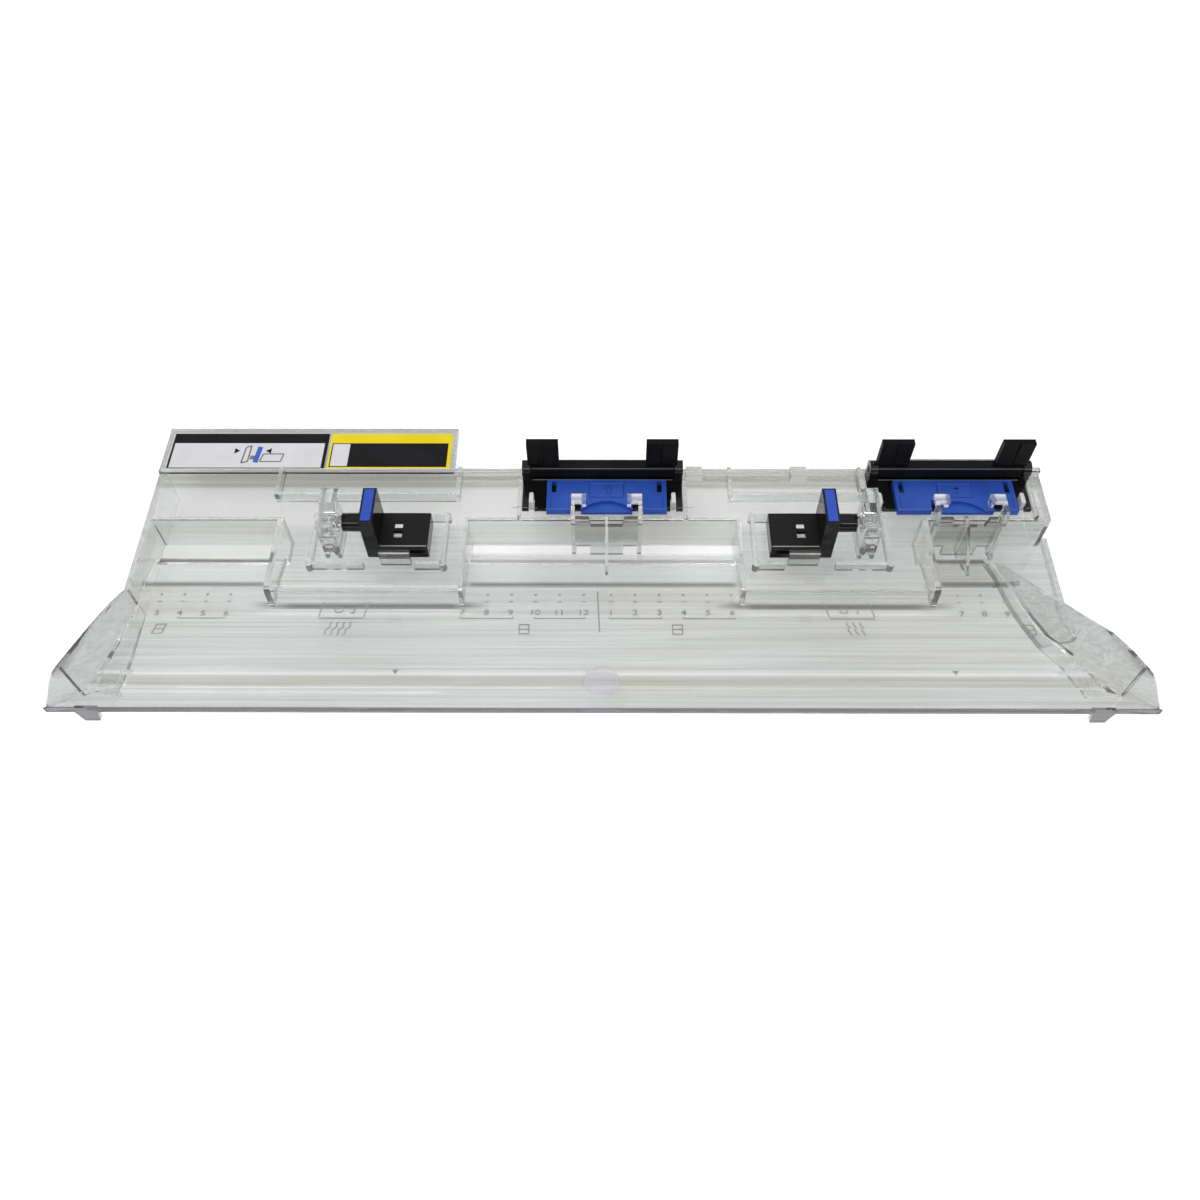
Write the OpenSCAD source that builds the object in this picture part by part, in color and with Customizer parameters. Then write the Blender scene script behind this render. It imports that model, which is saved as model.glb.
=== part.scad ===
// Clear air baffle shroud for a rack server.
// x runs across the server, y from the front lip to the back, z up from the plane it rests on.
// The origin is under the middle of the whole part.

/* [Overall] */
// Width across the front lip
front_w = 432; // [420:1:450]
// Width between the outer faces of the side walls
body_w = 386; // [378:1:396]
// Depth from the front lip to the back edge of the label flange
depth = 135; // [130:1:150]
// Thickness of the moulded sheet
sheet_t = 2.2; // [1.8:0.1:2.8]
// Height of the front deck above the resting plane
deck_h = 10.5; // [9:0.5:14]
// Rise from the deck to the platforms and the shelf
step_h = 10; // [8:0.5:14]
// Height of the front lip's face
lip_h = 3.5; // [3:0.5:7]

/* [Layout from front to back] */
// Front face of the two platforms
platform_y = 48.6; // [44:0.2:52]
// Where the valley ramps leave the deck
ramp_y = 58; // [55:0.5:62]
// Front end of the valley floors
floor_y = 76.5; // [74:0.5:78]
// Front face of the shelf
shelf_y = 84.5; // [83:0.5:86]
// Depth of the shelf
shelf_d = 27; // [26:0.5:30]
// Radius of the sheet's bends
bend_r = 3; // [2.5:0.5:4]

/* [Platforms] */
// Distance of each platform's inner edge from the middle
platform_in = 56.5; // [50:0.5:58]
// Width of each platform
platform_w = 80.5; // [78:0.5:84]
// Thickness of the walls between platforms and valleys
divider_t = 2; // [1.5:0.1:3]

/* [Wings] */
// Height of the wings' front ends above the deck
wing_h = 22.5; // [18:0.5:28]
// How far the wings' tops lean out at the front
wing_lean = 10; // [5:0.5:12]
// Thickness of the wings
wing_t = 2; // [1.6:0.1:2.6]

/* [Pinch latches] */
// Distance of the left pinch latch from the middle of the part
left_latch_x = 92.6; // [91:0.2:94]
// Distance of the right pinch latch from the middle of the part
right_latch_x = 90.4; // [89:0.2:92]
// Middle of the pinch latches along the depth
pinch_y = 71.4; // [70:0.2:72]
// Length of the rib frame round each latch
rib_l = 56; // [54:0.5:57]
// Depth of the rib frame
rib_d = 26; // [25:0.5:26.5]
// Height of the ribs
rib_h = 4; // [3:0.5:6]
// Thickness of the ribs
rib_t = 1.6; // [1.2:0.1:2]
// Length of each latch slide
slide_l = 25; // [24:0.5:26]
// Depth of each latch slide
slide_d = 17.4; // [16:0.2:18]
// Height of the slide's flat top above the platform
slide_h = 10; // [9.5:0.5:12]
// Gap between the platform and the underside of the slide
slide_gap = 3; // [2.5:0.1:3.2]
// Wall of the slide
slide_wall = 1.8; // [1.5:0.1:2.2]
// Width of the upright finger block
upright_w = 5.5; // [5.2:0.1:6]
// Height of the upright above the platform
upright_h = 26; // [25:0.5:30]
// How far the latch travels when pinched
pinch_travel = 5; // [3:0.5:5.5]
// Outer diameter of the plunger sleeve
sleeve_d = 7.6; // [7.2:0.1:7.8]
// Bore of the plunger sleeve
sleeve_bore = 5.8; // [5.6:0.1:6]
// Length of the sleeve outside the upright
sleeve_l = 9; // [8.5:0.1:9.2]
// Diameter of the guide pin inside the spring
guide_d = 3.4; // [3:0.1:3.6]
// Diameter of the spring wire
wire_d = 0.6; // [0.5:0.05:0.65]
// Outer diameter of the spring
coil_d = 5.4; // [5.2:0.1:5.5]
// Working turns of the spring
coil_turns = 9; // [6:1:11]
// Width of the fixed finger post
post_w = 6.8; // [6.6:0.1:8]
// Height of the fixed finger post above the platform
post_h = 26.5; // [25:0.5:30]

/* [Card retainers] */
// Distance of the side retainer from the middle of the part
side_retainer_x = 147; // [145:0.5:149]
// How far the latch plates sit to the right of their frames
plate_shift = 1.8; // [0:0.1:2]
// How far the centre hooks sit to the right of their frame
centre_hook_shift = 1.8; // [1:0.1:2]
// How far the side hooks sit to the right of their frame
side_hook_shift = 6; // [5:0.1:6.2]
// Width of a retainer frame
frame_w = 68; // [66:0.5:70]
// Front edge of the frame's feet
foot_y = 89; // [88.5:0.1:90]
// Thickness of the frame's base
base_t = 2; // [1.6:0.1:2.2]
// Width of the latch plate
plate_w = 50.6; // [49:0.2:52]
// Thickness of the latch plate
plate_t = 2.9; // [2.4:0.1:3]
// Front edge of the latch plate
plate_y = 85.5; // [85.2:0.1:86]
// How far the latch plate pulls forward
plate_travel = 3.5; // [2:0.1:3.6]
// Height of the gate's hinge axis above the shelf
gate_axis_h = 9.3; // [9.2:0.1:11]
// Hinge axis of the gate along the depth
gate_y = 105; // [104.8:0.1:105.2]
// Thickness of the gate's bar
bar_t = 6; // [5:0.1:6]
// Height of the flags' tops above the shelf
flag_top = 26; // [22:0.5:30]
// Width of each flag
flag_w = 13.2; // [12:0.2:14]
// Thickness of the flags
flag_t = 2.8; // [2.2:0.1:3.2]
// Distance between the outer edges of the two flags
flag_span = 63; // [61:0.5:64]
// Diameter of the gate's trunnions
trunnion_d = 3; // [2.6:0.1:3.4]

/* [Labels] */
// Width of the white label
white_label_w = 69; // [60:0.5:78]
// Width of the yellow label
yellow_label_w = 54; // [48:0.5:60]
// Thickness of the labels
label_t = 0.25; // [0.15:0.05:0.4]

/* [Hidden] */
$fn = 48;

clear_colour = [0.80, 0.83, 0.85, 0.45];
gap = 0.3; // running gap between pieces that slide past each other
pin_gap = 0.05; // radial gap of a trunnion in its bearing
eps = 0.01; // how far a cut runs past a face

// levels above the resting plane
platform_z = deck_h + step_h;
floor_z = sheet_t;

// plan positions
half_w = body_w / 2;
platform_out = platform_in + platform_w;
shelf_back = shelf_y + shelf_d;
shelf_right = half_w - 4;
flange_edge = 1.2; // raised edge round the label flange
label_gap = 1; // bare margin beside each label
label_y = shelf_back + label_gap;
label_d = depth - flange_edge - label_gap - label_y;
flange_in = -half_w + white_label_w + yellow_label_w + 3 * label_gap + 2 * flange_edge;

// ---------- general shapes ----------

// Puts children at their place behind the front lip: y = 0 is the lip's face.
module place() {
    translate([0, -depth / 2, 0]) children();
}

// A YZ outline extruded from x1 to x2.
module slab_x(x1, x2) {
    translate([x1, 0, 0]) rotate([90, 0, 90]) linear_extrude(x2 - x1) children();
}

// An XZ outline extruded from y1 back to y2.
module slab_y(y1, y2) {
    translate([0, y2, 0]) rotate([90, 0, 0]) linear_extrude(y2 - y1) children();
}

// A box from one corner to the opposite one.
module block(low, high) {
    translate(low) cube(high - low);
}

// Copies children onto the +x side and mirrored onto the -x side.
module both_sides() {
    children();
    mirror([1, 0, 0]) children();
}

function unit(v) = v / norm(v);
function left_of(v) = [-v[1], v[0]];

// Points of a path with every inner corner rounded to radius r.
function rounded(path, r, steps = 4) = [
    for (i = [0:len(path) - 1])
        if (i == 0 || i == len(path) - 1)
            path[i]
        else
            each bend(path[i - 1], path[i], path[i + 1], r, steps)
];

// Arc points that replace corner b of a path a-b-c.
function bend(a, b, c, r, steps) =
    let (
        u = unit(b - a),
        v = unit(c - b),
        turn = atan2(u[0] * v[1] - u[1] * v[0], u * v),
        side = turn > 0 ? 1 : -1,
        start = b - u * r * tan(abs(turn) / 2),
        hub = start + left_of(u) * r * side
    )
    [for (k = [0:steps]) hub + spun(start - hub, turn * k / steps)];

function spun(v, angle) = [v[0] * cos(angle) - v[1] * sin(angle), v[0] * sin(angle) + v[1] * cos(angle)];

// The same path moved t to the right of its direction, with mitred corners.
function moved(path, t) = [
    for (i = [0:len(path) - 1])
        let (
            n = len(path) - 1,
            u = unit(path[min(i + 1, n)] - path[min(i, n - 1)]),
            v = unit(path[max(i, 1)] - path[max(i - 1, 0)]),
            miter = left_of(u) + left_of(v)
        )
        path[i] - miter * t * 2 / (miter * miter)
];

// A bent sheet's outline whose upper face follows the path.
module sheet(path, t) {
    under = moved(path, t);
    polygon(concat(path, [for (i = [len(under) - 1:-1:0]) under[i]]));
}

// A solid skin through a list of rings with equally many points. The two ends are closed by
// strips that join the first half of the ring to the second.
module loft(rings) {
    n = len(rings[0]);
    last = len(rings) - 1;
    strips = [for (i = [0:n / 2 - 2]) [i, i + 1, n - 2 - i, n - 1 - i]];
    sides = [
        for (k = [0:last - 1])
            for (i = [0:n - 1])
                let (j = (i + 1) % n)
                    each [[k * n + i, (k + 1) * n + j, k * n + j], [k * n + i, (k + 1) * n + i, (k + 1) * n + j]]
    ];
    polyhedron(
        points = [for (ring = rings) each ring],
        faces = concat(strips, sides, [for (q = strips) [for (i = [3:-1:0]) last * n + q[i]]]),
        convexity = 4
    );
}

// ---------- clear shell ----------

deck_back = 42; // where the deck plate passes into the bent sheets behind it
ramp_end = floor_y - 2;
ramp_drop = 0.4; // share of the deck's height that the straight part of a ramp falls by

platform_path = rounded(
    [[deck_back, deck_h], [platform_y, deck_h], [platform_y, platform_z], [shelf_back, platform_z]],
    bend_r
);

valley_path = concat(
    rounded([[deck_back, deck_h], [ramp_y, deck_h], [ramp_end, ramp_at(ramp_end)]], bend_r),
    [[floor_y - 1.4, floor_z + 1], [floor_y, floor_z], [shelf_y, floor_z]],
    [[shelf_y, platform_z], [shelf_back, platform_z]]
);

// Height of the ramp's upper face at y.
function ramp_at(y) = deck_h * (1 - ramp_drop * (y - ramp_y) / (ramp_end - ramp_y));

module baffle_shell() {
    color(clear_colour) place() {
        deck();
        platforms();
        valleys();
        dividers();
        front_lip();
        side_walls();
        rear_rim();
        rear_channels();
        label_flange();
        pinch_base(right_latch_x);
        mirror([1, 0, 0]) pinch_base(left_latch_x);
        retainer_seat(0, centre_hook_shift);
        retainer_seat(side_retainer_x, side_hook_shift);
    }
}

// A plate seen in plan, raised from low to high.
module raised(low, high) {
    translate([0, 0, low]) linear_extrude(high - low) children();
}

// The front deck with a shallow groove behind the lip. Its sides follow the wings' knees.
groove_y = [8.8, 10.1, 15.4, 17.2];
groove_h = 0.8;

module deck() {
    inset = wing_t / 2;
    right = [for (p = right_wing) if (p[0] < deck_back) [p[2] - inset, p[0]]];
    left_back = half_w + knee_lean * (platform_y - deck_back) / (platform_y - knee_front) - inset;
    left_front = half_w + knee_lean - inset;
    right_back = lookup(deck_back, [for (p = right_wing) [p[0], p[2]]]) - inset;
    outline = concat(
        [[-left_back, deck_back + eps], [right_back, deck_back + eps]],
        right,
        [[left_front, knee_front], [left_front, 1], [-left_front, 1], [-left_front, knee_front]]
    );
    difference() {
        raised(deck_h - sheet_t, deck_h) polygon(outline);
        deck_groove();
    }
}

module deck_groove() {
    slab_x(-half_w + 3, half_w - 3) polygon([
        [groove_y[0], deck_h + eps], [groove_y[1], deck_h - groove_h],
        [groove_y[2], deck_h - groove_h], [groove_y[3], deck_h + eps],
    ]);
}

module platforms() {
    both_sides() slab_x(platform_in, platform_out) sheet(platform_path, sheet_t);
}

module valleys() {
    slab_x(-platform_in, platform_in) sheet(valley_path, sheet_t);
    slab_x(-half_w, -platform_out) sheet(valley_path, sheet_t);
    // the right valley ends at the wing's diagonal foot, and a low strip lies beyond it
    inset = wing_t / 2;
    foot = [for (p = right_wing) if (p[0] > strip_y - 2) [p[1] - inset, p[0]]];
    difference() {
        slab_x(platform_out, shelf_right) sheet(valley_path, sheet_t);
        raised(-1, deck_h + 1) polygon(concat(foot, [[half_w, strip_y - 2], [half_w, foot[0][1]]]));
    }
    low_foot = [for (p = right_wing) if (p[0] >= strip_y - 2) [p[1] - inset, p[0]]];
    raised(0, floor_z) polygon(concat(
        [[low_foot[0][0], shelf_y]],
        low_foot,
        [[half_w - 0.5, strip_y], [half_w - 0.5, shelf_y + sheet_t], [low_foot[0][0], shelf_y + sheet_t]]
    ));
    // its upturned outer edge
    block([half_w - 0.5 - sheet_t, strip_y, 0], [half_w - 0.5, shelf_y + sheet_t, floor_z + 3]);
}

module dividers() {
    corner = rounded(
        [[platform_y, deck_h - sheet_t], [platform_y, platform_z], [shelf_y + sheet_t, platform_z]],
        bend_r
    );
    outline = concat(
        corner,
        [[shelf_y + sheet_t, 0], [floor_y - 1, 0], [ramp_end, ramp_at(ramp_end) - sheet_t], [ramp_y, deck_h - sheet_t]]
    );
    both_sides() for (x = [platform_in, platform_out - divider_t])
        slab_x(x, x + divider_t) polygon(outline);
}

// The thick front edge with its two pointed corners and the tabs under it.
lip_d = 10;
corner_d = 6;
tab_w = 9;
left_tab_x = 205;
right_tab_x = 190;
tab_slant = 1.5;

module front_lip() {
    outline = [
        [-front_w / 2, 0], [front_w / 2, 0], [half_w + wing_lean, corner_d], [half_w, lip_d],
        [-half_w, lip_d], [-half_w - wing_lean, corner_d],
    ];
    difference() {
        raised(deck_h - lip_h, deck_h) polygon(outline);
        deck_groove();
    }
    slab_y(0, sheet_t) for (x = [-left_tab_x, right_tab_x])
        polygon([
            [x, deck_h - lip_h + eps], [x + tab_slant, 0],
            [x + tab_w - tab_slant, 0], [x + tab_w, deck_h - lip_h + eps],
        ]);
}

foot_front = 9.9; // where the wings' feet end behind the lip
knee_front = 5.8;
wing_front = 5;
foot_lean = 0.5;
knee_lean = 9.7; // how far the wings' knees lean out at the front
strip_y = 35; // front end of the low strip beside the right wing

// One station of a wing, which bends at its knee: each corner is [x, y, z] of its outer face.
function wing_ring(foot, knee, top) =
    let (in = [wing_t, 0, 0]) [foot, knee, top, top - in, knee - in, foot - in];

// The front end is the same on both wings.
front_ring = wing_ring(
    [half_w + foot_lean, foot_front, 0],
    [half_w + knee_lean, knee_front, deck_h],
    [half_w + wing_lean, wing_front, deck_h + wing_h]
);

// Left wing, drawn on the right: s runs from its back end to its front end.
function left_ring(s) = wing_ring(
    [half_w + foot_lean * s, platform_y + (foot_front - platform_y) * s, 0],
    [half_w + knee_lean * s, platform_y + (knee_front - platform_y) * s, deck_h],
    [half_w + wing_lean * s, platform_y + (wing_front - platform_y) * s, left_top(s)]
);

function left_top(s) = platform_z + (wing_h - step_h) * pow(s, 0.75);

// Stations of the right wing from back to front: y, foot x, knee x, knee z, top x, top z.
right_wing = [
    [77, half_w - 28, half_w - 28, floor_z - 0.4, half_w - 27.8, floor_z + 0.4],
    [68, half_w - 24.5, half_w - 24.5, deck_h - 3.5, half_w - 22.5, deck_h - 0.9],
    [52, half_w - 20.5, half_w - 20.5, deck_h, half_w - 13.5, deck_h + wing_h - 17],
    [44, half_w - 17.5, half_w - 17.5, deck_h, half_w - 9.5, deck_h + wing_h - 12.5],
    [34, half_w - 13, half_w - 13, deck_h, half_w - 3.3, deck_h + wing_h - 8.8],
    [24, half_w - 5.5, half_w - 4, deck_h, half_w + 3, deck_h + wing_h - 4.5],
    [14, half_w - 0.5, half_w + 3.5, deck_h, half_w + 7, deck_h + wing_h - 1.8],
];

// The sheet that closes a wing's front end down to the lip's corner.
module front_web() {
    start = [half_w + knee_lean - wing_t / 2, knee_front];
    end = [front_w / 2 - 1, 1];
    run = norm(end - start);
    curve = [for (p = [[0, 1], [0.29, 0.83], [0.56, 0.55], [0.8, 0.24], [1, 0]]) [p[0] * run, deck_h + p[1] * wing_h]];
    translate([start[0], start[1], 0]) rotate([0, 0, atan2(end[1] - start[1], end[0] - start[0])])
        slab_y(-wing_t / 2, wing_t / 2) polygon(concat(
            [[0, deck_h - lip_h / 2]], curve, [[run, deck_h - lip_h / 2]]
        ));
}

module side_walls() {
    // left: a straight wall whose front part rises and leans out
    block([-half_w, platform_y, 0], [-half_w + sheet_t, shelf_back, platform_z]);
    mirror([1, 0, 0]) loft([for (s = [0:0.2:1]) s < 1 ? left_ring(s) : front_ring]);
    // right: a leaning wall that runs diagonally in over the deck
    loft(concat(
        [for (p = right_wing) wing_ring([p[1], p[0], 0], [p[2], p[0], p[3]], [p[4], p[0], p[5]])],
        [front_ring]
    ));
    // right: the shelf's end wall
    block([shelf_right - sheet_t, shelf_y, 0], [shelf_right, shelf_back, platform_z]);
    both_sides() front_web();
}

rim_t = 2;
rim_h = 1.5;
rim_drop = 6; // height of the shelf's down-turned back edge
clip_w = 7;
clip_d = 6;
clip_h = 3;
clip_x = [frame_w / 2 + 2, platform_out - 56];
fence_h = 8;
fence_x = side_retainer_x + 4; // middle of the fence behind the side retainer
fence_w = 38;
bead_l = 14;

module rear_rim() {
    block([-half_w, shelf_back - rim_t, platform_z - eps], [shelf_right, shelf_back, platform_z + rim_h]);
    // a down-turned edge stiffens the back of the shelf
    block([flange_in, shelf_back - sheet_t, platform_z - rim_drop], [shelf_right, shelf_back, platform_z]);
    // small locating clips on the rim
    for (x = clip_x)
        block([x, shelf_back - clip_d, platform_z], [x + clip_w, shelf_back, platform_z + clip_h]);
    // a raised fence behind the side retainer
    translate([fence_x, 0, platform_z])
        block([-fence_w / 2, shelf_back - rim_t, 0], [fence_w / 2, shelf_back, fence_h]);
    // a rounded bead at the right end
    translate([shelf_right - bead_l, shelf_back - rim_t / 2, platform_z + rim_h])
        rotate([0, 90, 0]) cylinder(d = rim_t + 1, h = bead_l);
}

channel_h = 5;
channel_y = 94;
channel_left = [-platform_out - 2, -platform_in - 4];
channel_right = [platform_in - 3, side_retainer_x - frame_w / 2 - 2];

module rear_channels() {
    for (span = [channel_left, channel_right]) {
        block([span[0], channel_y, platform_z], [span[1], channel_y + rib_t, platform_z + channel_h]);
        for (x = [span[0], span[1] - rib_t])
            block([x, channel_y, platform_z], [x + rib_t, shelf_back - rim_t, platform_z + channel_h]);
    }
}

module label_flange() {
    block([-half_w, shelf_back - eps, platform_z - sheet_t], [flange_in, depth, platform_z]);
    block([-half_w, depth - flange_edge, platform_z], [flange_in, depth, platform_z + flange_edge]);
    for (x = [-half_w, flange_in - flange_edge])
        block([x, shelf_back, platform_z], [x + flange_edge, depth, platform_z + flange_edge]);
}

// ---------- labels on the flange ----------

white_label_x = -half_w + flange_edge + label_gap;

module label_at(x, w) {
    place() translate([x, label_y, platform_z]) cube([w, label_d, label_t]);
}

module white_label() {
    color([0.93, 0.93, 0.93]) label_at(white_label_x, white_label_w);
}

module yellow_label() {
    color([0.96, 0.88, 0.2]) label_at(white_label_x + white_label_w + label_gap, yellow_label_w);
}

// ---------- pinch latches, drawn for the right side ----------
// u runs outboard from the latch's middle, h up from the platform

upright_out = 2.8;
upright_in = upright_out - upright_w;
slide_in = upright_out - slide_l;
post_in = 14.1;
post_out = post_in + post_w;
sleeve_h = 15;
spring_seat = upright_in + 2;
post_bore = sleeve_d + 2 * gap;
post_floor = post_out - 1.4;
keeper_w = 12.4;
keeper_in = -14.6;
groove_low = 5.6;
groove_high = 8;
groove_deep = 1.1;
slide_front = pinch_y - slide_d / 2;
slide_back = pinch_y + slide_d / 2;

module at_latch(x) {
    translate([x, 0, platform_z]) children();
}

module pinch_base(x) {
    at_latch(x) {
        latch_ribs();
        slide_rails();
        for (side = [-1, 1]) keeper(side);
        finger_post();
    }
}

// The open rib frame round the latch, with a gap in front of the slide.
rib_mid = -0.6;

module latch_ribs() {
    u1 = rib_mid - rib_l / 2;
    u2 = rib_mid + rib_l / 2;
    y1 = pinch_y - rib_d / 2;
    y2 = pinch_y + rib_d / 2;
    block([u1, y2 - rib_t, 0], [u2, y2, rib_h]);
    for (u = [u1, u2 - rib_t]) block([u, y1, 0], [u + rib_t, y2, rib_h]);
    block([u1, y1, 0], [keeper_in - rib_t, y1 + rib_t, rib_h]);
    block([upright_out + rib_t, y1, 0], [u2, y1 + rib_t, rib_h]);
    for (u = [u1 + rib_t / 2, u2 - rib_t / 2])
        for (y = [y1 + rib_t / 2, y2 - rib_t / 2])
            translate([u, y, 0]) cylinder(d = 2 * rib_t, h = rib_h);
}

// Two rails that the slide runs on.
module slide_rails() {
    for (y = [slide_front + 3, slide_back - 3 - rib_t])
        block([slide_in + 1, y, 0], [upright_out, y + rib_t, slide_gap - gap / 3]);
}

// A wall beside the slide with a nib in the slide's groove; side is -1 in front and 1 behind.
module keeper(side) {
    face = side < 0 ? slide_front - gap : slide_back + gap;
    wall = face + side * rib_t;
    nib = face - side * groove_deep;
    translate([keeper_in, 0, 0]) {
        block([0, min(face, wall), 0], [keeper_w, max(face, wall), groove_high - gap]);
        block([0, min(nib, face), groove_low + gap], [keeper_w, max(nib, face), groove_high - gap]);
    }
}

// The fixed finger post, bored to take the sleeve, with the pin that guides the spring.
block_h = 20.5;
waist_w = 4;
paddle_lean = 1.5; // how far the paddle leans back toward the slide
notch_w = 4;
notch_h = 5;

module finger_post() {
    front = pinch_y - 7;
    middle = front + 8;
    back = front + 15.6;
    mid_u = (post_in + post_out) / 2;
    paddle_u = mid_u - paddle_lean;
    difference() {
        union() {
            block([post_in, front, 0], [post_out, back, block_h]);
            slab_y(middle, back) polygon([
                [mid_u - waist_w / 2, block_h - 1], [mid_u + waist_w / 2, block_h - 1],
                [paddle_u + post_w / 2, post_h], [paddle_u - post_w / 2, post_h],
            ]);
        }
        translate([post_in - eps, pinch_y, sleeve_h]) rotate([0, 90, 0])
            cylinder(d = post_bore, h = post_floor - post_in);
        // splayed feet
        slab_y(front - eps, back + eps)
            polygon([[mid_u - notch_w / 2, -eps], [mid_u, notch_h], [mid_u + notch_w / 2, -eps]]);
    }
    translate([upright_out + 1.5, pinch_y, sleeve_h]) rotate([0, 90, 0])
        cylinder(d = guide_d, h = post_floor - upright_out - 1.4);
}

window_u = [-11.4, -7.8];
window_y = [[-3.8, -0.6], [1, 3.4]];
pad_sink = 1.2;
pad_border = 0.8;

module latch_slide(x) {
    color([0.06, 0.06, 0.065]) at_latch(x) difference() {
        union() {
            block([slide_in, slide_front, slide_gap], [upright_out, slide_back, slide_h]);
            block([upright_in, slide_front, slide_gap], [upright_out, slide_back, upright_h]);
            sleeve();
        }
        // hollow underside
        block(
            [slide_in + slide_wall, slide_front + 2 * slide_wall, slide_gap - eps],
            [upright_in, slide_back - 2 * slide_wall, slide_h - slide_wall]
        );
        // guide grooves along both long sides
        groove(slide_front - eps, slide_front + groove_deep);
        groove(slide_back - groove_deep, slide_back + eps);
        // two windows in the flat top
        for (y = window_y)
            block([window_u[0], pinch_y + y[0], 0], [window_u[1], pinch_y + y[1], slide_h + 1]);
        // pocket for the pad
        pad_block(upright_h - pad_sink, upright_h + 1);
        // spring bore
        translate([spring_seat, pinch_y, sleeve_h]) rotate([0, 90, 0])
            cylinder(d = sleeve_bore, h = upright_w + sleeve_l);
    }
}

// A groove that stays clear of a keeper's nib through the whole travel.
module groove(y1, y2) {
    low = [keeper_in - pinch_travel - gap, y1, groove_low];
    block(low, [keeper_in + keeper_w + gap, y2, groove_high]);
}

module sleeve() {
    ring = 1.1;
    neck = 0.7;
    translate([upright_out - 1, pinch_y, sleeve_h]) rotate([0, 90, 0]) {
        cylinder(d = sleeve_d, h = 1 + sleeve_l - ring - neck);
        cylinder(d = sleeve_d - 1, h = 1 + sleeve_l);
        translate([0, 0, 1 + sleeve_l - ring]) cylinder(d = sleeve_d, h = ring);
    }
}

module pad_block(low, high) {
    block(
        [upright_in + pad_border, slide_front + pad_border, low],
        [upright_out - pad_border, slide_back - pad_border, high]
    );
}

module latch_pad(x) {
    color([0.2, 0.34, 0.85]) at_latch(x) pad_block(upright_h - pad_sink, upright_h + 0.3);
}

// A compression spring as one swept wire, with closed end turns.
spring_end = post_floor - 0.05;
spring_start = spring_seat + 0.05;
wire_sides = 6;
coil_steps = 18;

module latch_spring(x) {
    turns = coil_turns + 2;
    steps = turns * coil_steps;
    run = spring_end - spring_start - wire_d;
    r = (coil_d - wire_d) / 2;
    pitch = (run - 2 * wire_d) / coil_turns;
    color([0.75, 0.75, 0.77]) at_latch(x)
        translate([spring_start + wire_d / 2, pinch_y, sleeve_h]) rotate([0, 90, 0])
            loft([
                for (k = [0:steps])
                    let (
                        turn = k / coil_steps,
                        a = 360 * turn,
                        rise = min(turn, 1) * wire_d + max(0, min(turn - 1, coil_turns)) * pitch
                            + max(0, turn - 1 - coil_turns) * wire_d
                    )
                    [
                        for (j = [0:wire_sides - 1])
                            let (b = -360 * j / wire_sides, out = r + cos(b) * wire_d / 2)
                                [out * cos(a), out * sin(a), rise + sin(b) * wire_d / 2]
                    ]
            ]);
}

// ---------- card retainers, drawn round x = 0 ----------
// heights are above the shelf

plate_low = base_t + gap;
plate_high = plate_low + plate_t;
plate_back = gate_y - bar_t / 2;
peg_x = 30;
peg_w = 1.8;
peg_l = 5.4;
slot_x = 22.3;
slot_w = 2;
stud_l = 1.9;
slot_back = plate_back - 0.8;
slot_front = slot_back - stud_l - plate_travel - 2 * gap;
knuckle_d = 7;
knuckle_in = frame_w / 2 - 3.4;
bar_half = knuckle_in - gap;
beam_high = gate_axis_h - 4;
hook_out = 14.8;
hook_wall = 1.6;
hook_in = 8.6;
hook_reach = 5; // how far the hooks' tops reach back over the plate
notch_in = 10.8;
notch_out = hook_out + 0.4;
notch_d = hook_reach + 0.5;
web_y = plate_y - plate_travel - gap - hook_wall - 0.4;

module on_shelf() {
    translate([0, 0, platform_z]) children();
}

// A slot running back from y1 to y2, rounded at the back end.
module plan_slot(x, w, y1, y2) {
    translate([x - w / 2, y1]) square([w, y2 - y1 - w / 2]);
    translate([x, y2 - w / 2]) circle(d = w);
}

module retainer_frame() {
    color([0.05, 0.05, 0.055]) place() on_shelf() {
        difference() {
            block([-frame_w / 2, foot_y, 0], [frame_w / 2, gate_y + 3, base_t]);
            both_sides() raised(-1, base_t + 1)
                plan_slot(peg_x, peg_w + 2 * gap, foot_y - 1, foot_y + 1 + peg_l + gap);
        }
        // beam under the gate's bar
        block([-frame_w / 2, plate_back + gap, 0], [frame_w / 2, gate_y + 3, beam_high]);
        // studs that guide the latch plate
        translate([plate_shift, 0, 0]) both_sides() block(
            [slot_x - slot_w / 2 + gap, slot_front + gap, 0],
            [slot_x + slot_w / 2 - gap, slot_front + gap + stud_l, plate_high - gap]
        );
        both_sides() knuckle();
    }
}

module knuckle() {
    difference() {
        union() {
            block([knuckle_in, gate_y - 3, 0], [frame_w / 2, gate_y + 3, gate_axis_h]);
            translate([knuckle_in, gate_y, gate_axis_h]) rotate([0, 90, 0])
                cylinder(d = knuckle_d, h = frame_w / 2 - knuckle_in);
        }
        translate([knuckle_in - 1, gate_y, gate_axis_h]) rotate([0, 90, 0])
            cylinder(d = trunnion_d + 2 * pin_gap, h = frame_w);
    }
}

panel_w = 14;
panel_front = 7;
panel_h = 0.3;
scoop_r = 15;
scoop_d = 5;
scoop_h = 1.5;

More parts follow.
